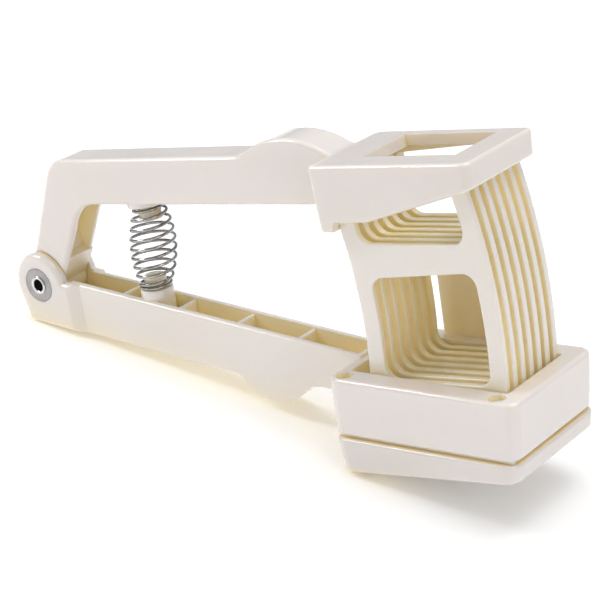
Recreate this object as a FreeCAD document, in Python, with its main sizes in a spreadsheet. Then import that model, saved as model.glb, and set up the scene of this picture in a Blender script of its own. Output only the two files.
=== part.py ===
import FreeCAD, Part
import math
import os
import Sketcher

# Hand-held egg slicer: two arms on one hinge, a comb of ladder-shaped plates that pushes the egg
# down through a row of blades. Lengths are in mm and angles in degrees.
#
# The hinge axis is the Y axis, through the origin. Each arm is drawn in its own upright frame, with
# +X from the hinge to the head and +Z up, and is then turned about the hinge: the lower arm by
# lower_tilt, so that the tool lies on the rear edge of its retainer and on its hinge end, and the
# upper arm by open_angle more.

SIZES = {
    # how the tool lies, and how far it opens
    "lower_tilt": 11.6,
    "open_angle": 4.0,
    "closing_angle": 18.0,
    # arms
    "arm_width": 16.0,
    "wall": 2.6,
    "upper_edge_round": 1.8,
    "lower_edge_round": 1.2,
    "arm_slope": 0.104,
    "lower_arm_top": 2.9,
    "lower_arm_depth": 20.2,
    "bulge_x": 114.7,
    "bulge_z": -16.2,
    "bulge_radius": 20.1,
    "bulge_blend": 6.0,
    "notch_x": 136.0,
    "notch_z": -27.6,
    "rib_first_x": 39.9,
    "rib_pitch": 28.6,
    "rib_thick": 1.8,
    "rib_drop": 1.2,
    # hinge
    "cheek_radius": 12.9,
    "cheek_width": 22.0,
    "cheek_gap": 14.0,
    "cheek_step_x": 14.8,
    "cheek_end_x": 19.6,
    "cheek_round": 2.4,
    "heel_x": -9.0,
    "heel_round": 2.0,
    "heel_lean": 14.6,
    "web_top": -5.5,
    "pocket_end_x": 14.5,
    "knuckle_radius": 10.0,
    "knuckle_side_play": 0.15,
    "rivet_radius": 3.1,
    "rivet_hole_radius": 2.5,
    "rivet_lip_radius": 3.7,
    "rivet_lip_thick": 0.5,
    "hinge_play": 0.05,
    "washer_radius": 6.9,
    "washer_thick": 1.0,
    "washer_play": 0.2,
    # spring and its seats
    "seat_x": 54.7,
    "seat_z": 1.0,
    "seat_radius": 6.6,
    "seat_post_radius": 4.5,
    "seat_post_rise": 4.9,
    "top_seat_x": 60.4,
    "top_seat_z": 31.2,
    "top_seat_radius": 7.9,
    "top_post_drop": 6.1,
    "wire_radius": 0.62,
    "spring_end_radius": 5.65,
    "spring_mid_radius": 8.8,
    "spring_turns": 10.0,
    "spring_closed_pitch": 2.1,
    "spring_start_angle": 205.0,
    # upper handle
    "upper_top": 51.1,
    "upper_bottom": 32.7,
    "leg_foot_x": 0.2,
    "leg_foot_z": 15.6,
    "leg_head_x": 19.6,
    "leg_inner_foot_x": 12.9,
    "leg_inner_foot_z": 4.2,
    "leg_inner_head_x": 30.3,
    "elbow_round": 11.0,
    "inner_elbow_round": 14.0,
    "leg_cut_radius": 14.2,
    "hollow_foot_x": 13.1,
    "hollow_foot_z": 17.6,
    "hump_x": 138.8,
    "hump_rise": 6.2,
    "hump_radius": 36.3,
    "hump_blend": 8.0,
    # frame over the plates
    "frame_left": 159.6,
    "frame_right": 225.6,
    "frame_depth": 42.4,
    "frame_top": 51.1,
    "frame_left_bottom": 27.2,
    "skirt_left_z": 30.4,
    "skirt_kink_x": 180.6,
    "skirt_clear": 0.3,
    "deck_thick": 4.4,
    "deck_left": 175.6,
    "deck_right": 214.2,
    "deck_front": -10.2,
    "deck_back": 16.0,
    "rear_rail": 5.4,
    "frame_front_left_corner": 1.6,
    "frame_corner": 3.6,
    "frame_edge_round": 1.5,
    # pusher plates
    "plate_count": 7,
    "plate_thick": 2.62,
    "plate_pitch": 5.24,
    "plate_inner": 167.6,
    "plate_outer": 224.0,
    "window_inner": 174.3,
    "window_outer": 217.8,
    "plate_bottom": -35.0,
    "window_bottom": -28.0,
    "window_top": 10.9,
    "window_slope_rise": 3.0,
    "plate_play": 0.2,
    "bar_top": 22.0,
    "window_round": 5.0,
    "plate_edge_round": 0.45,
    # blade box
    "box_left": 154.2,
    "box_nose": 232.9,
    "box_width": 53.2,
    "box_top": -14.0,
    "box_bottom": -34.7,
    "box_corner": 5.0,
    "box_round": 1.8,
    "well_left": 159.4,
    "well_nose": 225.0,
    "well_width": 35.4,
    "groove": 1.9,
    "groove_inset": 1.7,
    "recess_x_left": 159.9,
    "recess_x_right": 223.0,
    "recess_y": 22.0,
    "recess_radius": 3.0,
    "recess_depth": 2.0,
    # guard wall behind the plates
    "guard_left": 173.0,
    "guard_right": 217.4,
    "guard_front": 22.0,
    "guard_thick": 2.6,
    "guard_top": 24.4,
    "guard_corner": 6.0,
    # retainer ring
    "ring_lip": 0.7,
    "ring_left_height": 13.2,
    "ring_nose_height": 6.6,
    "ring_corner": 5.5,
    "ring_round": 1.2,
    # blades and screws
    "blade_thick": 0.4,
    "blade_height": 5.0,
    "blade_tab": 2.6,
    "blade_play": 0.05,
    "screw_x_left": 164.0,
    "screw_x_nose": 221.0,
    "screw_y": 21.9,
    "screw_radius": 1.2,
    "screw_length": 12.0,
    "screw_head_depth": 4.0,
    "screw_head_radius": 2.3,
    "screw_head_thick": 1.6,
}


class Dim:
    """A size with its value now and the expression that gives it from the sheet."""

    def __init__(self, value, text=None):
        self.value = float(value)
        self.text = text or repr(float(value))

    def joined(self, other, sign, value):
        return Dim(value, "(%s %s %s)" % (self.text, sign, dim(other).text))

    def __add__(self, other):
        return self.joined(other, "+", self.value + dim(other).value)

    def __sub__(self, other):
        return self.joined(other, "-", self.value - dim(other).value)

    def __mul__(self, other):
        return self.joined(other, "*", self.value * dim(other).value)

    def __truediv__(self, other):
        return self.joined(other, "/", self.value / dim(other).value)

    def __neg__(self):
        return Dim(-self.value, "(0 - %s)" % self.text)


def dim(value):
    return value if isinstance(value, Dim) else Dim(value)


def size(alias):
    return Dim(SIZES[alias], "Sizes." + alias)


def root(value):
    return Dim(math.sqrt(value.value), "sqrt(%s)" % value.text)


def sine(angle):
    return Dim(math.sin(math.radians(angle.value)), "sin(%s * 1 deg)" % angle.text)


def cosine(angle):
    return Dim(math.cos(math.radians(angle.value)), "cos(%s * 1 deg)" % angle.text)


def on_arc(radius, height):
    """The point at a height on the circle round the hinge, on the head's side."""
    return (root(radius * radius - height * height), height)


HINGE = (dim(0), dim(0))

doc = FreeCAD.newDocument("egg_slicer")
sheet = doc.addObject("Spreadsheet::Sheet", "Sizes")
for row, (alias, value) in enumerate(SIZES.items(), start=1):
    sheet.set("A%d" % row, alias)
    sheet.set("B%d" % row, str(value))
    sheet.setAlias("B%d" % row, alias)
doc.recompute()


# ---------------------------------------------------------------- sketches and features

def new_body(name):
    body = doc.addObject("PartDesign::Body", name)
    body.Label = name
    return body


def new_sketch(body, role):
    sketch = body.newObject("Sketcher::SketchObject", body.Name + "_outline")
    plane = [item for item in body.Origin.OriginFeatures if item.Role == role][0]
    sketch.AttachmentSupport = [(plane, "")]
    sketch.MapMode = "FlatFace"
    return sketch


def bind(sketch, constraint, value):
    """Adds a dimension to a sketch and binds it to the sheet."""
    index = sketch.addConstraint(constraint)
    sketch.setExpression("Constraints[%d]" % index, value.text)


def pin_point(sketch, item, end, point):
    """Places one end of an edge at (x, y) from the origin."""
    for kind, value in zip(("DistanceX", "DistanceY"), point):
        if value is not None:
            bind(sketch, Sketcher.Constraint(kind, -1, 1, item, end, value.value), value)


def add_arc(sketch, start, stop, arc):
    """Adds an arc from start to stop and says which of its ends comes first."""
    radius, turn, centre = arc
    middle = FreeCAD.Vector(centre[0].value, centre[1].value, 0)
    first, last = [math.atan2(point.y - middle.y, point.x - middle.x) for point in (start, stop)]
    if turn < 0:
        first, last = last, first
    if last < first:
        last += 2 * math.pi
    circle = Part.Circle(middle, FreeCAD.Vector(0, 0, 1), radius.value)
    item = sketch.addGeometry(Part.ArcOfCircle(circle, first, last))
    if centre is HINGE:
        sketch.addConstraint(Sketcher.Constraint("Coincident", item, 3, -1, 1))
    else:
        pin_point(sketch, item, 3, centre)
    bind(sketch, Sketcher.Constraint("Radius", item, radius.value), radius)
    return (1, 2) if turn > 0 else (2, 1)


def add_outline(sketch, points, arcs=None):
    """Draws a closed outline of straight edges, with the arcs given by their edge's number."""
    arcs = arcs or {}
    corners = [FreeCAD.Vector(x.value, y.value, 0) for x, y in points]
    first = sketch.GeometryCount
    count = len(points)
    ends = []
    for number, start in enumerate(corners):
        stop = corners[(number + 1) % count]
        if number in arcs:
            ends.append(add_arc(sketch, start, stop, arcs[number]))
        else:
            sketch.addGeometry(Part.LineSegment(start, stop))
            ends.append((1, 2))
    for number in range(count):
        following = (number + 1) % count
        sketch.addConstraint(Sketcher.Constraint("Coincident", first + number, ends[number][1],
                                                 first + following, ends[following][0]))
    for number, (x, y) in enumerate(points):
        beside_arc = number in arcs or (number - 1) % count in arcs
        pin_point(sketch, first + number, ends[number][0], (None if beside_arc else x, y))


def add_circle(sketch, centre, radius):
    middle = FreeCAD.Vector(centre[0].value, centre[1].value, 0)
    item = sketch.addGeometry(Part.Circle(middle, FreeCAD.Vector(0, 0, 1), radius.value))
    bind(sketch, Sketcher.Constraint("Radius", item, radius.value), radius)
    pin_point(sketch, item, 3, centre)


def box_outline(left, bottom, right, top):
    return [(left, bottom), (right, bottom), (right, top), (left, top)]


def feature(body, kind, sketch, length, symmetric=True, reverse=False, level=None):
    """Pads or pockets a sketch, which is first moved by level along its plane's normal."""
    if level is not None:
        sketch.setExpression("AttachmentOffset.Base.z", "(%s) * 1 mm" % dim(level).text)
    item = body.newObject("PartDesign::" + kind, "%s_%s" % (body.Name, kind.lower()))
    item.Profile = sketch
    item.setExpression("Length", dim(length).text)
    item.SideType = "Symmetric" if symmetric else "One side"
    item.Reversed = reverse
    doc.recompute()
    check_feature(item)
    return item


def check_feature(item):
    """Stops on a feature that failed, and on a cut that removes nothing."""
    if "Invalid" in item.State or "Error" in item.State or item.Shape.isNull():
        raise RuntimeError("%s failed" % item.Name)
    removes = item.TypeId in ("PartDesign::Pocket", "PartDesign::Groove", "PartDesign::Fillet")
    if removes and abs(item.Shape.Volume - item.BaseFeature.Shape.Volume) < 1e-6:
        raise RuntimeError("%s changes nothing" % item.Name)


def side_feature(body, kind, points, width, arcs=None):
    """Pads or pockets an outline of the X-Z plane, evenly to both sides of it."""
    sketch = new_sketch(body, "XZ_Plane")
    add_outline(sketch, points, arcs)
    return feature(body, kind, sketch, width)


def side_circle(body, kind, centre, radius, width):
    sketch = new_sketch(body, "XZ_Plane")
    add_circle(sketch, centre, radius)
    return feature(body, kind, sketch, width)


def flat_feature(body, kind, outlines, level, length, reverse=False):
    """Pads or pockets outlines of the X-Y plane from a level, up for a pad and down for a pocket."""
    sketch = new_sketch(body, "XY_Plane")
    for points in outlines:
        add_outline(sketch, points)
    return feature(body, kind, sketch, length, symmetric=False, reverse=reverse, level=level)


def flat_circles(body, kind, centres, radius, level, length, reverse=False):
    sketch = new_sketch(body, "XY_Plane")
    for centre in centres:
        add_circle(sketch, centre, radius)
    return feature(body, kind, sketch, length, symmetric=False, reverse=reverse, level=level)


def turned(body, kind, outlines):
    """Turns outlines of the X-Y plane, X being the radius, round the hinge axis."""
    sketch = new_sketch(body, "XY_Plane")
    for points in outlines:
        add_outline(sketch, points)
    item = body.newObject("PartDesign::" + kind, "%s_%s" % (body.Name, kind.lower()))
    item.Profile = sketch
    item.ReferenceAxis = (sketch, ["V_Axis"])
    item.Angle = 360
    doc.recompute()
    check_feature(item)
    return item


def round_edges(body, radius, wanted):
    """Rounds the edges of a body for which wanted(middle point, direction) is true."""
    base = body.Tip
    names = []
    for number, edge in enumerate(base.Shape.Edges, start=1):
        if edge.Length < 0.05:
            continue
        middle = edge.valueAt((edge.FirstParameter + edge.LastParameter) / 2)
        along = edge.tangentAt((edge.FirstParameter + edge.LastParameter) / 2)
        if wanted(middle, along):
            names.append("Edge%d" % number)
    item = body.newObject("PartDesign::Fillet", body.Name + "_fillet")
    item.Base = (base, names)
    item.setExpression("Radius", dim(radius).text)
    doc.recompute()
    check_feature(item)
    return item


def rim_at(across):
    """Chooses the edges that lie in the two upright planes at this distance from the middle."""
    def wanted(middle, along):
        return abs(abs(middle.y) - across) < 0.01 and abs(along.y) < 0.01
    return wanted


def crossing_at(*places):
    """Chooses the edges along the hinge axis that pass through the given (x, z) places."""
    def wanted(middle, along):
        near = [math.hypot(middle.x - x.value, middle.z - z.value) < 0.2 for x, z in places]
        return abs(along.y) > 0.9 and any(near)
    return wanted


def place(item, tilt, across=None):
    """Turns a piece up about the hinge by tilt, and shifts it along the hinge axis."""
    about_hinge = FreeCAD.Rotation(FreeCAD.Vector(0, 1, 0), 1)
    item.Placement = FreeCAD.Placement(FreeCAD.Vector(0, 0, 0), about_hinge)
    item.setExpression("Placement.Rotation.Angle", "(0 - %s) * 1 deg" % tilt.text)
    if across is not None:
        item.setExpression("Placement.Base.y", "(%s) * 1 mm" % across.text)


# ---------------------------------------------------------------- shared places

LOWER_TILT = size("lower_tilt")
UPPER_TILT = size("lower_tilt") + size("open_angle")
CLOSED_TURN = size("closing_angle") - size("open_angle")
BEYOND = dim(60.0)
RING_TOP = size("box_bottom") - size("groove")


def arm_top(x):
    return size("lower_arm_top") - size("arm_slope") * x


def arm_bottom(x):
    return arm_top(x) - size("lower_arm_depth")


def nose_arc(radius):
    """An arc round the hinge, drawn upwards."""
    return (radius, 1, HINGE)


def rear_arc(radius):
    """An arc round the hinge, drawn downwards."""
    return (radius, -1, HINGE)


def gap_middle(number):
    """The middle of a gap between two neighbouring plates, across the tool."""
    return size("plate_pitch") * (dim(number) - size("plate_count") / 2 + 1)


def screw_places():
    places = []
    for x in (size("screw_x_left"), size("screw_x_nose")):
        for y in (size("screw_y"), -size("screw_y")):
            places.append((x, y))
    return places


def blade_box_outline(inset, low, high):
    nose = size("box_nose") - inset
    left = size("box_left") + inset
    return [(left, low), on_arc(nose, low), on_arc(nose, high), (left, high)], {1: nose_arc(nose)}


def well_outline(low, high):
    nose = size("well_nose")
    left = size("well_left")
    return [(left, low), on_arc(nose, low), on_arc(nose, high), (left, high)], {1: nose_arc(nose)}


def half_disc(x, z, radius, chord, turn):
    """A cap of a disc beyond a level chord: below it for turn 1, above it for turn -1."""
    half = root(radius * radius - (chord - z) * (chord - z))
    return [(x - half, chord), (x + half, chord)], {0: (radius, turn, (x, z))}


# ---------------------------------------------------------------- lower handle

def lower_arm(body):
    """The straight arm, the finger bulge under it, and the wider hinge end."""
    box_side = size("box_left") + 2.0
    start = dim(4.0)
    notch = (size("notch_x"), size("notch_z"))
    outline = [(start, arm_bottom(start)), (size("bulge_x"), arm_bottom(size("bulge_x"))), notch,
               (box_side, size("notch_z")), (box_side, arm_top(box_side)), (start, arm_top(start))]
    side_feature(body, "Pad", outline, size("arm_width"))
    bulge, arc = half_disc(size("bulge_x"), size("bulge_z"), size("bulge_radius"), size("bulge_z"), 1)
    side_feature(body, "Pad", bulge, size("arm_width"), arc)
    round_edges(body, size("bulge_blend"), bulge_end_edge)
    round_edges(body, size("lower_edge_round"), arm_top_edge)

    radius = size("cheek_radius")
    lean = size("heel_lean")
    heel = size("heel_x")
    end = size("cheek_end_x")
    cheek = [(-radius * cosine(lean), -radius * sine(lean)), (heel, arm_bottom(heel)),
             (end, arm_bottom(end)), (end, arm_top(end)), (dim(8.0), arm_top(dim(8.0)))]
    side_feature(body, "Pad", cheek, size("cheek_width"))
    side_circle(body, "Pad", (dim(0), dim(0)), radius, size("cheek_width"))
    trim_cheek_sides(body)
    round_edges(body, size("heel_round"), crossing_at((heel, arm_bottom(heel))))
    round_edges(body, size("cheek_round"), rim_at(SIZES["cheek_width"] / 2))


def arm_top_edge(middle, along):
    return rim_at(SIZES["arm_width"] / 2)(middle, along) and middle.z > -12


def bulge_end_edge(middle, along):
    reach = math.hypot(middle.x - SIZES["bulge_x"], middle.z - SIZES["bulge_z"])
    return abs(along.y) > 0.9 and abs(reach - SIZES["bulge_radius"]) < 0.01 \
        and middle.z < SIZES["bulge_z"] - 5


def trim_cheek_sides(body):
    """The cheeks narrow to the arm's width over a short slanting step."""
    outer = size("cheek_width") / 2
    inner = size("arm_width") / 2
    step, end = size("cheek_step_x"), size("cheek_end_x")
    outlines = []
    for side in (1, -1):
        outlines.append([(step, outer * side), (end, inner * side), (end + 2.0, inner * side),
                         (end + 2.0, (outer + 2.0) * side), (step, (outer + 2.0) * side)])
    flat_feature(body, "Pocket", outlines, BEYOND / 2, BEYOND)


def hollow_lower_arm(body):
    """The channel in the arm and the bulge, the wide pocket between the cheeks, and the ribs."""
    wall = size("wall")
    channel = size("arm_width") - wall * 2
    start = size("pocket_end_x") - 2.0
    side = size("box_left")
    floor = [(start, arm_bottom(start) + wall), (size("bulge_x"), arm_bottom(size("bulge_x")) + wall),
             (size("notch_x"), size("notch_z") + wall), (side, size("notch_z") + wall)]
    side_feature(body, "Pocket", floor + [(side, BEYOND / 2), (start, BEYOND / 2)], channel)
    bulge, arc = half_disc(size("bulge_x"), size("bulge_z"), size("bulge_radius") - wall,
                           size("bulge_z"), 1)
    side_feature(body, "Pocket", bulge, channel, arc)

    end = size("pocket_end_x")
    heel_floor = arm_bottom(size("heel_x")) + wall
    pocket = [(size("heel_x") + 1.4, heel_floor), (end, arm_bottom(end) + wall), (end, BEYOND / 2),
              (dim(-16.0), BEYOND / 2), (dim(-16.0), size("web_top")),
              (size("heel_x") - 0.9, size("web_top"))]
    side_feature(body, "Pocket", pocket, size("cheek_gap"))

    sketch = new_sketch(body, "XZ_Plane")
    for number in range(4):
        x = size("rib_first_x") + size("rib_pitch") * number
        half = size("rib_thick") / 2
        top = arm_top(x) - size("rib_drop")
        add_outline(sketch, box_outline(x - half, arm_bottom(x) + 0.5, x + half, top))
    feature(body, "Pad", sketch, size("arm_width") - wall)


def spring_boss(body):
    place_at = [(size("seat_x"), dim(0))]
    foot = arm_bottom(size("seat_x")) + 1.0
    flat_circles(body, "Pad", place_at, size("seat_radius"), foot, size("seat_z") - foot)
    round_edges(body, dim(0.8), seat_rim)
    flat_circles(body, "Pad", place_at, size("seat_post_radius"), size("seat_z") - 1.0,
                 size("seat_post_rise") + 1.0)
    round_edges(body, dim(0.8), post_rim)


def seat_rim(middle, along):
    return abs(middle.z - SIZES["seat_z"]) < 0.01 and abs(middle.x - SIZES["seat_x"]) < 9


def post_rim(middle, along):
    return abs(middle.z - SIZES["seat_z"] - SIZES["seat_post_rise"]) < 0.01 \
        and abs(middle.x - SIZES["seat_x"]) < 9


def blade_box(body):
    """The block at the head, its narrower neck, the well for the plates and the slots for the blades."""
    low, high = size("box_bottom"), size("box_top")
    outline, arc = blade_box_outline(dim(0), low, high)
    side_feature(body, "Pad", outline, size("box_width"), arc)
    round_edges(body, size("box_corner"), box_corner_edge)
    round_edges(body, size("box_round"), box_top_edge)
    inset = size("groove_inset")
    outline, arc = blade_box_outline(inset, RING_TOP, low + 1.0)
    side_feature(body, "Pad", outline, size("box_width") - inset * 2, arc)
    outline, arc = well_outline(RING_TOP - 5.0, high + 5.0)
    side_feature(body, "Pocket", outline, size("well_width"), arc)

    blades = []
    for number in range(int(SIZES["plate_count"]) - 1):
        half = size("blade_thick") / 2 + size("blade_play")
        y = gap_middle(number)
        blades.append(box_outline(blade_left() - size("blade_play"), y - half,
                                  blade_right() + size("blade_play"), y + half))
    flat_feature(body, "Pocket", blades, RING_TOP - 5.0, size("blade_height") + 5.0 + 0.1, reverse=True)
    flat_circles(body, "Pocket", screw_places(), size("screw_radius"), RING_TOP - 5.0, 13.0, reverse=True)
    recesses = [(x, -size("recess_y")) for x in (size("recess_x_left"), size("recess_x_right"))]
    flat_circles(body, "Pocket", recesses, size("recess_radius"), high + 1.0, size("recess_depth") + 1.0)


def box_corner_edge(middle, along):
    return abs(abs(middle.y) - SIZES["box_width"] / 2) < 0.01 and abs(along.y) < 0.01 \
        and abs(along.z) > 0.8 and middle.x > SIZES["box_left"] - 0.1


def box_top_edge(middle, along):
    return abs(middle.z - SIZES["box_top"]) < 0.01 and middle.x > SIZES["box_left"] + 3.0


def blade_left():
    return size("well_left") - size("blade_tab")


def blade_right():
    level = RING_TOP + size("blade_height")
    return root(size("well_nose") * size("well_nose") - level * level) + size("blade_tab")


def guard_wall(body):
    """The wall behind the plates that stops what is pushed in from the front."""
    sketch = new_sketch(body, "XZ_Plane")
    add_outline(sketch, box_outline(size("guard_left"), size("box_top") - 2.0,
                                    size("guard_right"), size("guard_top")))
    feature(body, "Pad", sketch, size("guard_thick"), symmetric=False, reverse=True,
            level=-size("guard_front"))
    round_edges(body, size("guard_corner"), guard_corner_edge)


def guard_corner_edge(middle, along):
    return abs(middle.z - SIZES["guard_top"]) < 0.01 and abs(along.y) > 0.9


def hinge_bores(body):
    """The rivet's holes in the cheeks, and the shallow seats of the two discs."""
    outer = size("cheek_width") / 2
    depth = size("washer_thick")
    seat = size("washer_radius") + size("washer_play")
    seats = []
    for side in (1, -1):
        low, high = sorted([(outer - depth) * side, (outer + 1.0) * side], key=lambda y: y.value)
        seats.append(box_outline(dim(0.0), low, seat, high))
    turned(body, "Groove", seats)
    side_circle(body, "Pocket", (dim(0), dim(0)), size("rivet_radius") + 0.01, BEYOND)


def make_lower_handle():
    body = new_body("lower_handle")
    lower_arm(body)
    hollow_lower_arm(body)
    blade_box(body)
    spring_boss(body)
    guard_wall(body)
    hinge_bores(body)
    place(body, LOWER_TILT)
    return body


# ---------------------------------------------------------------- ring, blades and screws

def make_blade_retainer():
    body = new_body("blade_retainer")
    lip = size("ring_lip")
    nose = size("box_nose") + lip
    left_low = RING_TOP - size("ring_left_height")
    nose_low = RING_TOP - size("ring_nose_height")
    outline = [(size("box_left") + 1.6, left_low), on_arc(nose, nose_low), on_arc(nose, RING_TOP),
               (size("box_left") - lip / 2, RING_TOP)]
    side_feature(body, "Pad", outline, size("box_width") + lip * 2, {1: nose_arc(nose)})
    round_edges(body, size("ring_corner"), ring_corner_edge)
    round_edges(body, size("ring_round"), ring_rim_edge)
    outline, arc = well_outline(left_low - 10.0, RING_TOP + 5.0)
    side_feature(body, "Pocket", outline, size("well_width"), arc)
    flat_circles(body, "Pocket", screw_places(), size("screw_radius") + 0.1, RING_TOP + 1.0, BEYOND)
    flat_circles(body, "Pocket", screw_places(), size("screw_head_radius") + 0.2,
                 RING_TOP - size("screw_head_depth"), BEYOND)
    place(body, LOWER_TILT)
    return body


def ring_corner_edge(middle, along):
    return abs(abs(middle.y) - SIZES["box_width"] / 2 - SIZES["ring_lip"]) < 0.01 and abs(along.z) > 0.8


def ring_rim_edge(middle, along):
    return abs(along.z) < 0.5


def make_blade(number):
    body = new_body("blade_%d" % (number + 1))
    outline = box_outline(blade_left(), RING_TOP, blade_right(), RING_TOP + size("blade_height"))
    side_feature(body, "Pad", outline, size("blade_thick"))
    place(body, LOWER_TILT, gap_middle(number))
    return body


def make_retainer_screws():
    """Four screws, driven up through the ring; their heads stand in counterbores."""
    head_low = RING_TOP - size("screw_head_depth") - size("screw_head_thick")
    screws = []
    for number, (x, y) in enumerate(screw_places(), start=1):
        body = new_body("retainer_screw_%d" % number)
        flat_circles(body, "Pad", [(x, y)], size("screw_head_radius"), head_low,
                     size("screw_head_thick"))
        flat_circles(body, "Pad", [(x, y)], size("screw_radius"), head_low, size("screw_length"))
        drive = size("screw_radius")
        slot = box_outline(x - drive, y - 0.3, x + drive, y + 0.3)
        flat_feature(body, "Pocket", [slot], head_low - 1.0, dim(1.8), reverse=True)
        screws.append(body)
    group = doc.addObject("Part::Compound", "retainer_screws")
    group.Label = "retainer_screws"
    group.Links = screws
    place(group, LOWER_TILT)
    return group


# ---------------------------------------------------------------- upper handle

def upper_arm(body):
    """The leg from the hinge, the elbow, the level handle and the thumb hump."""
    width = size("arm_width")
    join = size("frame_left") + 2.0
    elbow = (size("leg_head_x"), size("upper_top"))
    inner_elbow = (size("leg_inner_head_x"), size("upper_bottom"))
    outline = [(size("leg_foot_x"), size("leg_foot_z")),
               (size("leg_inner_foot_x"), size("leg_inner_foot_z")),
               inner_elbow, (join, size("upper_bottom")), (join, size("upper_top")), elbow]
    side_feature(body, "Pad", outline, width)
    round_edges(body, size("elbow_round"), crossing_at(elbow))
    round_edges(body, size("inner_elbow_round"), crossing_at(inner_elbow))
    rise = size("hump_radius") - size("hump_rise")
    chord = size("upper_top") - 5.0
    hump, arc = half_disc(size("hump_x"), size("upper_top") - rise, size("hump_radius"), chord, -1)
    side_feature(body, "Pad", hump, width, arc)
    reach = root(size("hump_radius") * size("hump_radius") - rise * rise)
    round_edges(body, size("hump_blend"), crossing_at((size("hump_x") - reach, size("upper_top")),
                                                      (size("hump_x") + reach, size("upper_top"))))
    round_edges(body, size("upper_edge_round"), rim_at(SIZES["arm_width"] / 2))


def cut_foot(body):
    side_circle(body, "Pocket", (dim(0), dim(0)), size("leg_cut_radius"), BEYOND)


def hollow_upper_arm(body):
    """The channel under the handle, which runs down into the leg and ends in a curved floor."""
    wall = size("wall")
    channel = size("arm_width") - wall * 2
    roof = size("upper_top") - wall
    end = size("frame_left") - 4.0
    mouth = size("upper_bottom") - 3.0
    foot_x, foot_z = size("hollow_foot_x"), size("hollow_foot_z")
    outline = [(foot_x, foot_z), (foot_x + 0.2, foot_z - 3.9), (foot_x + 2.5, foot_z - 9.2),
               (foot_x + 9.5, foot_z - 9.2), (size("leg_inner_head_x") + 8.0, mouth), (end, mouth),
               (end, roof), (foot_x + 10.5, roof), (foot_x + 6.0, foot_z + 20.0)]
    side_feature(body, "Pocket", outline, channel)


def knuckle(body):
    """The narrower eye of the leg, which turns between the cheeks."""
    width = size("cheek_gap") - size("knuckle_side_play") * 2
    radius = size("knuckle_radius")
    side_circle(body, "Pad", (dim(0), dim(0)), radius, width)
    neck = [(-radius * 0.34, radius * 0.9), (radius * 0.9, radius * -0.12),
            (size("leg_inner_foot_x") + 4.3, size("leg_inner_foot_z") + 6.0),
            (size("leg_foot_x") + 2.2, size("leg_foot_z") + 3.9)]
    side_feature(body, "Pad", neck, width)


def top_seat(body):
    """The boss and post that hold the spring's upper end, and the ribs beside it."""
    place_at = [(size("top_seat_x"), dim(0))]
    low = size("top_seat_z")
    flat_circles(body, "Pad", place_at, size("top_seat_radius"), low, size("upper_top") - 1.0 - low)
    flat_circles(body, "Pad", place_at, size("seat_post_radius"), low - size("top_post_drop"),
                 size("top_post_drop") + 1.0)
    sketch = new_sketch(body, "XZ_Plane")
    for number in (1, 2, 3):
        x = size("top_seat_x") + size("rib_pitch") * number
        half = size("rib_thick") / 2
        add_outline(sketch, box_outline(x - half, size("upper_bottom") + size("rib_drop"),
                                        x + half, size("upper_top") - 1.0))
    feature(body, "Pad", sketch, size("arm_width") - size("wall"))


def closed_rim(x):
    """The height, in the upper arm's frame, that meets the blade box's rim when the tool is closed."""
    lift = size("box_top") + size("skirt_clear")
    return (x * sine(CLOSED_TURN) + lift) / cosine(CLOSED_TURN)


def frame(body):
    """The open frame on the end of the handle, which the plates hang from."""
    left, right, top = size("frame_left"), size("frame_right"), size("frame_top")
    kink = size("skirt_kink_x")
    lip = size("plate_inner") - 2.4
    outline = [(left + 0.6, size("frame_left_bottom")), (lip, size("frame_left_bottom")),
               (lip + 1.2, size("skirt_left_z")), (kink, closed_rim(kink)),
               (right - 0.8, closed_rim(right - 0.8)), (right, top), (left, top)]
    side_feature(body, "Pad", outline, size("frame_depth"))
    round_edges(body, size("frame_front_left_corner"), frame_corner_edges(-1, "frame_left"))
    round_edges(body, size("frame_corner"), frame_corner_edges(1, "frame_left"))
    round_edges(body, size("frame_corner"), frame_corner_edges(-1, "frame_right"))
    round_edges(body, size("frame_corner"), frame_corner_edges(1, "frame_right"))
    round_edges(body, size("frame_edge_round"), frame_top_edge)
    round_edges(body, size("frame_edge_round"), frame_foot_edge)


def frame_corner_edges(side, end):
    def wanted(middle, along):
        return abs(middle.x - SIZES[end]) < 1.0 and abs(along.z) > 0.9 \
            and abs(middle.y - side * SIZES["frame_depth"] / 2) < 0.01
    return wanted


def frame_top_edge(middle, along):
    beside_arm = abs(middle.y) > SIZES["arm_width"] / 2 + 0.5
    return abs(middle.z - SIZES["frame_top"]) < 0.01 and middle.x > SIZES["frame_left"] - 1 \
        and (beside_arm or middle.x > SIZES["frame_right"] - 5)


def frame_foot_edge(middle, along):
    return middle.x > SIZES["frame_left"] - 1 and abs(middle.y) > SIZES["arm_width"] / 2 + 0.5 \
        and middle.z < SIZES["frame_top"] - 1 and abs(along.y) < 0.9 and abs(along.z) < 0.9


def hollow_frame(body):
    """The cavity that the plates' rails stand in, the window in the deck and the low rear skirt."""
    inner = size("plate_inner") - size("plate_play")
    outer = size("plate_outer") + size("plate_play")
    low, high = dim(10.0), size("frame_top") - size("deck_thick")
    cavity = [on_arc(inner, low), on_arc(outer, low), on_arc(outer, high), on_arc(inner, high)]
    side_feature(body, "Pocket", cavity, comb_width() + size("plate_play"),
                 {1: nose_arc(outer), 3: rear_arc(inner)})
    window = box_outline(size("deck_left"), size("deck_front"), size("deck_right"), size("deck_back"))
    flat_feature(body, "Pocket", [window], size("frame_top") + 1.0, size("deck_thick") + 2.0)
    sketch = new_sketch(body, "XZ_Plane")
    rail = size("frame_top") - size("rear_rail")
    left, right = size("plate_inner") + 2.0, size("deck_right") + 2.0
    add_outline(sketch, [(left, dim(10.0)), (right, dim(10.0)), (right, rail + 1.6), (left, rail - 1.6)])
    feature(body, "Pocket", sketch, dim(10.0), symmetric=False, reverse=True,
            level=-(size("frame_depth") / 2 + 1.0))


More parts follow.
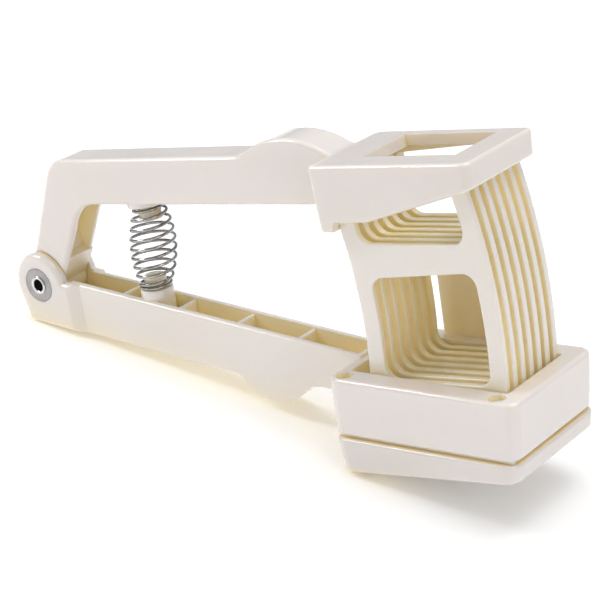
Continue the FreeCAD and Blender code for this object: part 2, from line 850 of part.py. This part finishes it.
def comb_width():
    return size("plate_pitch") * (size("plate_count") - 1) + size("plate_thick")


def make_upper_handle():
    body = new_body("upper_handle")
    upper_arm(body)
    frame(body)
    cut_foot(body)
    hollow_upper_arm(body)
    hollow_frame(body)
    knuckle(body)
    top_seat(body)
    side_circle(body, "Pocket", (dim(0), dim(0)), size("rivet_radius") + size("hinge_play"), BEYOND)
    place(body, UPPER_TILT)
    return body


def make_pusher_plate(number):
    """A ladder-shaped plate whose rails are arcs round the hinge, with two windows."""
    body = new_body("pusher_plate_%d" % (number + 1))
    thick = size("plate_thick")
    inner, outer = size("plate_inner"), size("plate_outer")
    low, high = size("plate_bottom"), size("frame_top") - size("deck_thick")
    outline = [on_arc(inner, low), on_arc(outer, low), on_arc(outer, high), on_arc(inner, high)]
    side_feature(body, "Pad", outline, thick, {1: nose_arc(outer), 3: rear_arc(inner)})

    rear, front = size("window_inner"), size("window_outer")
    arcs = {1: nose_arc(front), 3: rear_arc(rear)}
    tip = size("window_slope_rise") / 2
    lower = [on_arc(rear, size("window_bottom")), on_arc(front, size("window_bottom")),
             on_arc(front, size("window_top") + tip), on_arc(rear, size("window_top") - tip)]
    side_feature(body, "Pocket", lower, thick * 2, arcs)
    upper = [on_arc(rear, size("bar_top")), on_arc(front, size("bar_top")),
             on_arc(front, high + 3.0), on_arc(rear, high + 3.0)]
    side_feature(body, "Pocket", upper, thick * 2, arcs)
    round_edges(body, size("window_round"), window_corner_edge)
    round_edges(body, size("plate_edge_round"), rim_at(SIZES["plate_thick"] / 2))
    across = size("plate_pitch") * (dim(number) - (size("plate_count") - 1) / 2)
    place(body, UPPER_TILT, across)
    return body


def window_corner_edge(middle, along):
    reach = math.hypot(middle.x, middle.z)
    on_side = min(abs(reach - SIZES["window_inner"]), abs(reach - SIZES["window_outer"])) < 0.01
    return abs(along.y) > 0.9 and on_side and middle.z < SIZES["bar_top"] + 0.1


# ---------------------------------------------------------------- hinge pin and spring

def make_pivot_rivet():
    body = new_body("pivot_rivet")
    hole, shank, lip = size("rivet_hole_radius"), size("rivet_radius"), size("rivet_lip_radius")
    face = size("cheek_width") / 2
    end = face + size("rivet_lip_thick")
    bevel = dim(0.25)
    outline = [(hole + bevel, -end), (lip - bevel, -end), (lip, bevel - end), (lip, -face), (shank, -face),
               (shank, face), (lip, face), (lip, end - bevel), (lip - bevel, end), (hole + bevel, end),
               (hole, end - bevel), (hole, bevel - end)]
    turned(body, "Revolution", [outline])
    place(body, LOWER_TILT)
    return body


def make_pivot_washer(name, side):
    body = new_body(name)
    face = size("cheek_width") / 2
    near, far = sorted([face * side, (face - size("washer_thick")) * side], key=lambda y: y.value)
    turned(body, "Revolution", [box_outline(size("rivet_radius") + 0.02, near,
                                            size("washer_radius"), far)])
    place(body, LOWER_TILT)
    return body


def held(name):
    """A size as it stands in the sheet."""
    return float(sheet.get(name))


def coil_point(turn):
    """A point of the coil's centreline, turn being how many turns it stands from the lower end.

    The end turns are closed and the radius swells to the middle. The point is carried over from the
    lower seat to the upper one, so that the coil stands square on both.
    """
    wire = held("wire_radius")
    turns = held("spring_turns")
    low = turned_point(held("seat_x"), held("seat_z"), held("lower_tilt"))
    high = turned_point(held("top_seat_x"), held("top_seat_z"), UPPER_TILT.value)
    height = (high - low).Length - wire * 2
    closed = wire * held("spring_closed_pitch")
    share = min(max((turn - 1) / (turns - 2), 0), 1)
    level = closed * (turn if turn < 1 else 1 + max(turn - turns + 1, 0))
    level += (height - closed * 2) * share
    part = level / height
    swell = held("spring_mid_radius") - held("spring_end_radius")
    radius = held("spring_end_radius") + swell * (1 - (2 * part - 1) ** 2)
    angle = math.radians(held("spring_start_angle") + 360 * turn)
    along, across = radius * math.cos(angle), radius * math.sin(angle)
    from_low = low + lean(FreeCAD.Vector(along, across, wire + level), held("lower_tilt"))
    from_high = high + lean(FreeCAD.Vector(along, across, level - height - wire), UPPER_TILT.value)
    return from_low * (1 - part) + from_high * part


def lean(vector, tilt):
    return FreeCAD.Rotation(FreeCAD.Vector(0, 1, 0), -tilt).multVec(vector)


def turned_point(x, z, tilt):
    return lean(FreeCAD.Vector(x, 0, z), tilt)


def make_return_spring():
    """The wire is swept along a curve of its own, since no helix has this barrel form."""
    steps = int(held("spring_turns") * 12)
    path = Part.BSplineCurve()
    path.interpolate([coil_point(held("spring_turns") * step / steps) for step in range(steps + 1)])
    spine = Part.Wire(path.toShape())
    start = path.value(path.FirstParameter)
    along = path.tangent(path.FirstParameter)[0]
    ring = Part.Wire(Part.makeCircle(sheet.get("wire_radius"), start, along))
    spring = doc.addObject("Part::Feature", "return_spring")
    spring.Shape = spine.makePipeShell([ring], True, True)
    return spring


# ---------------------------------------------------------------- build

def main():
    pieces = [make_lower_handle(), make_blade_retainer(), make_upper_handle()]
    pieces += [make_pusher_plate(number) for number in range(int(SIZES["plate_count"]))]
    pieces += [make_blade(number) for number in range(int(SIZES["plate_count"]) - 1)]
    pieces += [make_return_spring(), make_retainer_screws(),
               make_pivot_rivet(), make_pivot_washer("pivot_washer_front", -1),
               make_pivot_washer("pivot_washer_rear", 1)]
    doc.recompute()
    for item in doc.Objects:
        if "Invalid" in item.State or "Error" in item.State:
            raise RuntimeError("%s is %s" % (item.Name, item.State))
    for piece in pieces:
        if piece.Shape.isNull() or not piece.Shape.isValid():
            raise RuntimeError("%s has no valid shape" % piece.Label)
    os.makedirs("parts", exist_ok=True)
    for piece in pieces:
        piece.Shape.exportStep("parts/%s.step" % piece.Label)
        print(piece.Label, len(piece.Shape.Solids), round(piece.Shape.Volume, 1))


main()
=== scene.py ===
import math

import bmesh
import bpy
from mathutils import Matrix, Vector


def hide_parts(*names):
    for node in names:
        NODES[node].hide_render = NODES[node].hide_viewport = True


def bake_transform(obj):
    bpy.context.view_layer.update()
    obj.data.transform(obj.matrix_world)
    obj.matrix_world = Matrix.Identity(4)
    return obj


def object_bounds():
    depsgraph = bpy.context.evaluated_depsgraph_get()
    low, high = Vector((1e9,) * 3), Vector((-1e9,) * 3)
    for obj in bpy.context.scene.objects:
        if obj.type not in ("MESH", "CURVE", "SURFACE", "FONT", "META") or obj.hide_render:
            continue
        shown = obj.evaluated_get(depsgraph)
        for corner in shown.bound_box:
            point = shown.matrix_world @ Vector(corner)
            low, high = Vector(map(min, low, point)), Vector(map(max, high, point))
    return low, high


MM = 0.001
FLOOR_GAP = 0.0001
FLOOR_HALF = 6
FLOOR_GLOW = 0.18
ROOM_DIM, ROOM_BRIGHT = 0.34, 0.58
ROOM_BRIGHT_HEIGHT = 0.55
LENS, SENSOR = 114.38, 36
CAMERA_PLACE = (502.39, -510.72, 349.70)
CAMERA_AROUND, CAMERA_DOWN, CAMERA_ROLL = 36.41, 27.01, 0.99
MIDDLE = (0.11, 0, 0.04)

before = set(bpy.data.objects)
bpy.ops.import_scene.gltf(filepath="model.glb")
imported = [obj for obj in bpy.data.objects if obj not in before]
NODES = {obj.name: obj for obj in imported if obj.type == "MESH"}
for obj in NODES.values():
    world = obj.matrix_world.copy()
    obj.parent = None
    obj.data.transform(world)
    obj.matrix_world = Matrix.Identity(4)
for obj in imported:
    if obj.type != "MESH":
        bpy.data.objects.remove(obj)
cad_box = [list(corner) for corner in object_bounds()]


# ---------------------------------------------------------------- material helpers

class Graph:
    """The nodes of one material, with the shader set up and short calls to wire them."""

    def __init__(self, name):
        self.material = bpy.data.materials.new(name)
        self.material.use_nodes = True
        self.tree = self.material.node_tree
        self.shader = self.tree.nodes["Principled BSDF"]

    def node(self, kind, **values):
        node = self.tree.nodes.new("ShaderNode" + kind)
        for key, value in values.items():
            if key in node.inputs:
                node.inputs[key].default_value = value
            else:
                setattr(node, key, value)
        return node

    def wire(self, source, target):
        self.tree.links.new(source, target)

    def noise(self, place, scale, detail=2.0, stretch=None):
        if stretch:
            mapping = self.node("Mapping")
            mapping.inputs["Scale"].default_value = stretch
            self.wire(place, mapping.inputs["Vector"])
            place = mapping.outputs["Vector"]
        node = self.node("TexNoise", Scale=scale, Detail=detail)
        self.wire(place, node.inputs["Vector"])
        return node.outputs["Fac"]

    def spread(self, source, from_low, from_high, low, high):
        node = self.node("MapRange")
        for key, value in zip(("From Min", "From Max", "To Min", "To Max"),
                              (from_low, from_high, low, high)):
            node.inputs[key].default_value = value
        self.wire(source, node.inputs["Value"])
        return node.outputs["Result"]

    def mix(self, factor, first, second):
        node = self.node("Mix", data_type="RGBA")
        self.wire(factor, node.inputs["Factor"])
        for socket, value in ((node.inputs[6], first), (node.inputs[7], second)):
            if isinstance(value, tuple):
                socket.default_value = (*value, 1)
            else:
                self.wire(value, socket)
        return node.outputs[2]

    def place(self):
        return self.node("TexCoord").outputs["Object"]

    def set(self, **values):
        for key, value in values.items():
            self.shader.inputs[key.replace("_", " ")].default_value = value

    def hollow(self, reach):
        """Falls from 1 on open surfaces to 0 far into hollows; the mask that lays painted shade."""
        node = self.node("AmbientOcclusion", samples=8)
        node.inputs["Distance"].default_value = reach
        return node.outputs["AO"]

    def edges(self, radius):
        """The normal rounded over sharp edges, and a mask that is 1 along those edges."""
        bevel = self.node("Bevel", samples=6)
        bevel.inputs["Radius"].default_value = radius
        dot = self.node("VectorMath", operation="DOT_PRODUCT")
        self.wire(bevel.outputs["Normal"], dot.inputs[0])
        self.wire(self.node("NewGeometry").outputs["Normal"], dot.inputs[1])
        return bevel.outputs["Normal"], self.spread(dot.outputs["Value"], 0.995, 0.90, 0, 1)

    def relief(self, height, depth, normal, strength=1.0):
        bump = self.node("Bump", Strength=strength, Distance=depth)
        self.wire(height, bump.inputs["Height"])
        self.wire(normal, bump.inputs["Normal"])
        self.wire(bump.outputs["Normal"], self.shader.inputs["Normal"])


def plastic(name, face, shade_tint, gloss, reach=0.036):
    """Moulded cream plastic: warmer in the hollows through painted shade, and paler along the edges
    through a painted highlight mixed with rubbing wear.
    """
    graph = Graph(name)
    place = graph.place()
    normal, edge = graph.edges(0.0007)
    cloud = graph.spread(graph.noise(place, 22), 0.3, 0.7, 0, 1)
    aged = graph.mix(cloud, face, tuple(v * s for v, s in zip(face, (0.985, 0.972, 0.94))))
    # painted shade: the AO mask lays the warm shade tint into recesses and between parts
    unshaded_mask = graph.spread(graph.hollow(reach), 0.16, 0.76, 0, 1)
    body = graph.mix(unshaded_mask, shade_tint, aged)
    # pale edge band: painted highlight together with rubbing wear, broken up by noise
    edge_break_noise = graph.spread(graph.noise(place, 160), 0.35, 0.6, 0.25, 0.7)
    edge_sheen_and_wear = graph.node("Math", operation="MULTIPLY")
    graph.wire(edge, edge_sheen_and_wear.inputs[0])
    graph.wire(edge_break_noise, edge_sheen_and_wear.inputs[1])
    pale_sheen_and_wear = tuple(min(1.0, v * 1.07) for v in face)
    graph.wire(graph.mix(edge_sheen_and_wear.outputs[0], body, pale_sheen_and_wear), graph.shader.inputs["Base Color"])
    graph.wire(graph.spread(graph.noise(place, 70, 4), 0.35, 0.7, gloss, gloss + 0.10),
               graph.shader.inputs["Roughness"])
    graph.relief(graph.noise(place, 240, 3), 0.00006, normal, 0.5)
    graph.set(IOR=1.5, Coat_Weight=0.6, Coat_Roughness=0.06)
    graph.set(Subsurface_Weight=0.35, Subsurface_Radius=(1.0, 0.72, 0.36), Subsurface_Scale=0.006)
    return graph.material


def metal(name, face, dull, gloss, grain=None, scale=500, edge_radius=0.00012):
    """Bright metal, dulled in patches, with a ground or drawn grain along one way."""
    graph = Graph(name)
    place = graph.place()
    normal, edge = graph.edges(edge_radius)
    patch = graph.spread(graph.noise(place, 180, 3), 0.35, 0.65, 0, 1)
    body = graph.mix(patch, face, dull)
    # painted shade: hollows darkened towards a third of the dull colour
    painted_hollow_shade = graph.mix(graph.spread(graph.hollow(0.004), 0.2, 0.8, 0, 1),
                          tuple(v * 0.35 for v in dull), body)
    # painted highlight: edges lightened to a brighter copy of the metal colour
    painted_edge_glint = tuple(min(1.0, v * 1.12) for v in face)
    graph.wire(graph.mix(edge, painted_hollow_shade, painted_edge_glint), graph.shader.inputs["Base Color"])
    lines = graph.noise(place, scale, 3, grain)
    graph.wire(graph.spread(lines, 0.3, 0.7, gloss, gloss + 0.14), graph.shader.inputs["Roughness"])
    graph.relief(lines, 0.00002, normal, 0.35)
    graph.set(Metallic=1.0)
    return graph.material


# ---------------------------------------------------------------- materials

FACE = (0.76, 0.715, 0.70)
# warm yellow painted shade colour for the hollows of the handles
HOLLOW_SHADE_TINT = (0.97, 0.82, 0.49)

# the second colour of each plastic is its painted shade colour, laid into its hollows
handle_plastic = plastic("handle_plastic", FACE, HOLLOW_SHADE_TINT, 0.11)
head_plastic = plastic("head_plastic", (0.745, 0.70, 0.685), HOLLOW_SHADE_TINT, 0.09)
ring_plastic = plastic("ring_plastic", (0.715, 0.672, 0.655), (0.94, 0.76, 0.40), 0.12, 0.012)
plate_plastic = plastic("plate_plastic", (0.775, 0.735, 0.705), (0.97, 0.81, 0.46), 0.09, 0.058)
blade_steel = metal("ground_blade", (0.66, 0.66, 0.67), (0.52, 0.52, 0.53), 0.16, (0.05, 1, 1), 900)
spring_steel = metal("plated_wire", (0.50, 0.50, 0.51), (0.26, 0.26, 0.27), 0.03, (1, 1, 0.2), 300)
rivet_steel = metal("rolled_rivet", (0.70, 0.70, 0.70), (0.5, 0.5, 0.5), 0.10, None, 700)
washer_steel = metal("satin_washer", (0.40, 0.385, 0.38), (0.31, 0.30, 0.295), 0.28, None, 1200)
screw_steel = metal("screw_steel", (0.58, 0.58, 0.58), (0.42, 0.42, 0.42), 0.22, None, 900)

FINISHES = {
    "lower_handle": handle_plastic,
    "upper_handle": head_plastic,
    "blade_retainer": ring_plastic,
    "retainer_screws": screw_steel,
    "pivot_rivet": rivet_steel,
    "return_spring": spring_steel,
}


def finish_of(name):
    if name.startswith("pusher_plate"):
        return plate_plastic
    if name.startswith("pivot_washer"):
        return washer_steel
    if name in FINISHES:
        return FINISHES[name]
    return blade_steel


for name, node in NODES.items():
    if not node.material_slots:
        node.data.materials.append(None)
    for slot in node.material_slots:
        slot.material = finish_of(name)


# ---------------------------------------------------------------- return spring

LOWER_TILT, UPPER_TILT = 11.6, 15.6
SEAT, TOP_SEAT = (54.7, 1.0), (60.4, 31.2)
WIRE, TURNS = 0.62, 10.0
END_RADIUS, MID_RADIUS = 5.65, 8.8
CLOSED_PITCH, START_ANGLE = 2.1, 205.0
STEPS_A_TURN, WIRE_SIDES = 28, 12


def lean(x, y, z, tilt):
    return Matrix.Rotation(math.radians(-tilt), 3, "Y") @ Vector((x, y, z))


LOW, HIGH = lean(SEAT[0], 0, SEAT[1], LOWER_TILT), lean(TOP_SEAT[0], 0, TOP_SEAT[1], UPPER_TILT)


def coil_point(turn):
    """A point of the wire's centreline in mm, closed at both ends and barrel shaped."""
    height = (HIGH - LOW).length - WIRE * 2
    closed = WIRE * CLOSED_PITCH
    share = min(max((turn - 1) / (TURNS - 2), 0), 1)
    level = closed * (turn if turn < 1 else 1 + max(turn - TURNS + 1, 0))
    level += (height - closed * 2) * share
    part = level / height
    radius = END_RADIUS + (MID_RADIUS - END_RADIUS) * (1 - (2 * part - 1) ** 2)
    angle = math.radians(START_ANGLE + 360 * turn)
    along, across = radius * math.cos(angle), radius * math.sin(angle)
    from_low = LOW + lean(along, across, WIRE + level, LOWER_TILT)
    from_high = HIGH + lean(along, across, level - height - WIRE, UPPER_TILT)
    return from_low * (1 - part) + from_high * part


def make_spring():
    steps = int(TURNS * STEPS_A_TURN)
    path = [coil_point(TURNS * step / steps) for step in range(steps + 1)]
    axis = (HIGH - LOW).normalized()
    verts, faces = [], []
    for i, point in enumerate(path):
        along = (path[min(i + 1, steps)] - path[max(i - 1, 0)]).normalized()
        side = along.cross(axis).normalized()
        up = side.cross(along)
        for j in range(WIRE_SIDES):
            turn = 2 * math.pi * j / WIRE_SIDES
            verts.append((point + (side * math.cos(turn) + up * math.sin(turn)) * WIRE) * MM)
    for i in range(steps):
        for j in range(WIRE_SIDES):
            a, b = i * WIRE_SIDES + j, i * WIRE_SIDES + (j + 1) % WIRE_SIDES
            faces.append((a, b, b + WIRE_SIDES, a + WIRE_SIDES))
    faces.append(tuple(range(WIRE_SIDES - 1, -1, -1)))
    last = steps * WIRE_SIDES
    faces.append(tuple(range(last, last + WIRE_SIDES)))
    mesh = bpy.data.meshes.new("coil_spring")
    mesh.from_pydata(verts, [], faces)
    mesh.validate()
    shell = bmesh.new()
    shell.from_mesh(mesh)
    bmesh.ops.recalc_face_normals(shell, faces=shell.faces)
    shell.to_mesh(mesh)
    shell.free()
    for polygon in mesh.polygons:
        polygon.use_smooth = len(polygon.vertices) == 4
    spring = bpy.data.objects.new("coil_spring", mesh)
    bpy.context.scene.collection.objects.link(spring)
    mesh.materials.append(spring_steel)
    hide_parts("return_spring")
    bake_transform(spring)


make_spring()


# ---------------------------------------------------------------- camera, light and floor

def add_camera():
    data = bpy.data.cameras.new("camera")
    camera = bpy.data.objects.new("camera", data)
    bpy.context.scene.collection.objects.link(camera)
    data.lens = LENS
    data.sensor_width = SENSOR
    data.clip_start, data.clip_end = 0.05, 20
    turn = Matrix.Rotation(math.radians(CAMERA_AROUND), 4, "Z") \
        @ Matrix.Rotation(math.radians(90 - CAMERA_DOWN), 4, "X") \
        @ Matrix.Rotation(math.radians(CAMERA_ROLL), 4, "Z")
    camera.matrix_world = Matrix.Translation(Vector(CAMERA_PLACE) * MM) @ turn
    bpy.context.scene.camera = camera


def add_floor(level):
    mesh = bpy.data.meshes.new("floor")
    corners = [(-1, -1), (1, -1), (1, 1), (-1, 1)]
    mesh.from_pydata([(x * FLOOR_HALF, y * FLOOR_HALF, 0) for x, y in corners], [], [(0, 1, 2, 3)])
    floor = bpy.data.objects.new("floor", mesh)
    floor.location.z = level
    bpy.context.scene.collection.objects.link(floor)
    graph = Graph("floor_white")
    graph.set(Base_Color=(0.9, 0.9, 0.9, 1), Roughness=0.7)
    graph.set(Emission_Color=(1, 1, 1, 1), Emission_Strength=FLOOR_GLOW)
    mesh.materials.append(graph.material)


def add_area(name, place, aim, size, power, color=(1, 1, 1)):
    data = bpy.data.lights.new(name, "AREA")
    data.shape = "RECTANGLE"
    data.size, data.size_y = size
    data.energy = power
    data.color = color
    light = bpy.data.objects.new(name, data)
    light.location = place
    light.rotation_mode = "QUATERNION"
    light.rotation_quaternion = (Vector(place) - Vector(aim)).to_track_quat("Z", "Y")
    bpy.context.scene.collection.objects.link(light)


def add_world():
    """A pale room: white overhead, greyer near the horizon."""
    world = bpy.data.worlds.new("world")
    bpy.context.scene.world = world
    world.use_nodes = True
    tree = world.node_tree
    background = tree.nodes["Background"]
    place = tree.nodes.new("ShaderNodeTexCoord")
    split = tree.nodes.new("ShaderNodeSeparateXYZ")
    ramp = tree.nodes.new("ShaderNodeMapRange")
    levels = {"From Min": 0.0, "From Max": ROOM_BRIGHT_HEIGHT, "To Min": ROOM_DIM, "To Max": ROOM_BRIGHT}
    for key, value in levels.items():
        ramp.inputs[key].default_value = value
    tree.links.new(place.outputs["Generated"], split.inputs["Vector"])
    tree.links.new(split.outputs["Z"], ramp.inputs["Value"])
    tree.links.new(ramp.outputs["Result"], background.inputs["Strength"])
    background.inputs["Color"].default_value = (1, 1, 1, 1)


bpy.context.scene.view_settings.view_transform = "Standard"
add_camera()
add_floor(cad_box[0][2] - FLOOR_GAP)
add_world()
add_area("key", (-0.76, -0.37, 0.68), MIDDLE, (0.24, 0.44), 4.6, (1.0, 0.985, 0.96))
add_area("top", (0.2, 0.15, 0.9), MIDDLE, (0.7, 0.5), 4.0)
add_area("side", (0.95, -0.35, 0.35), MIDDLE, (0.5, 0.7), 1.2, (1.0, 0.98, 0.95))
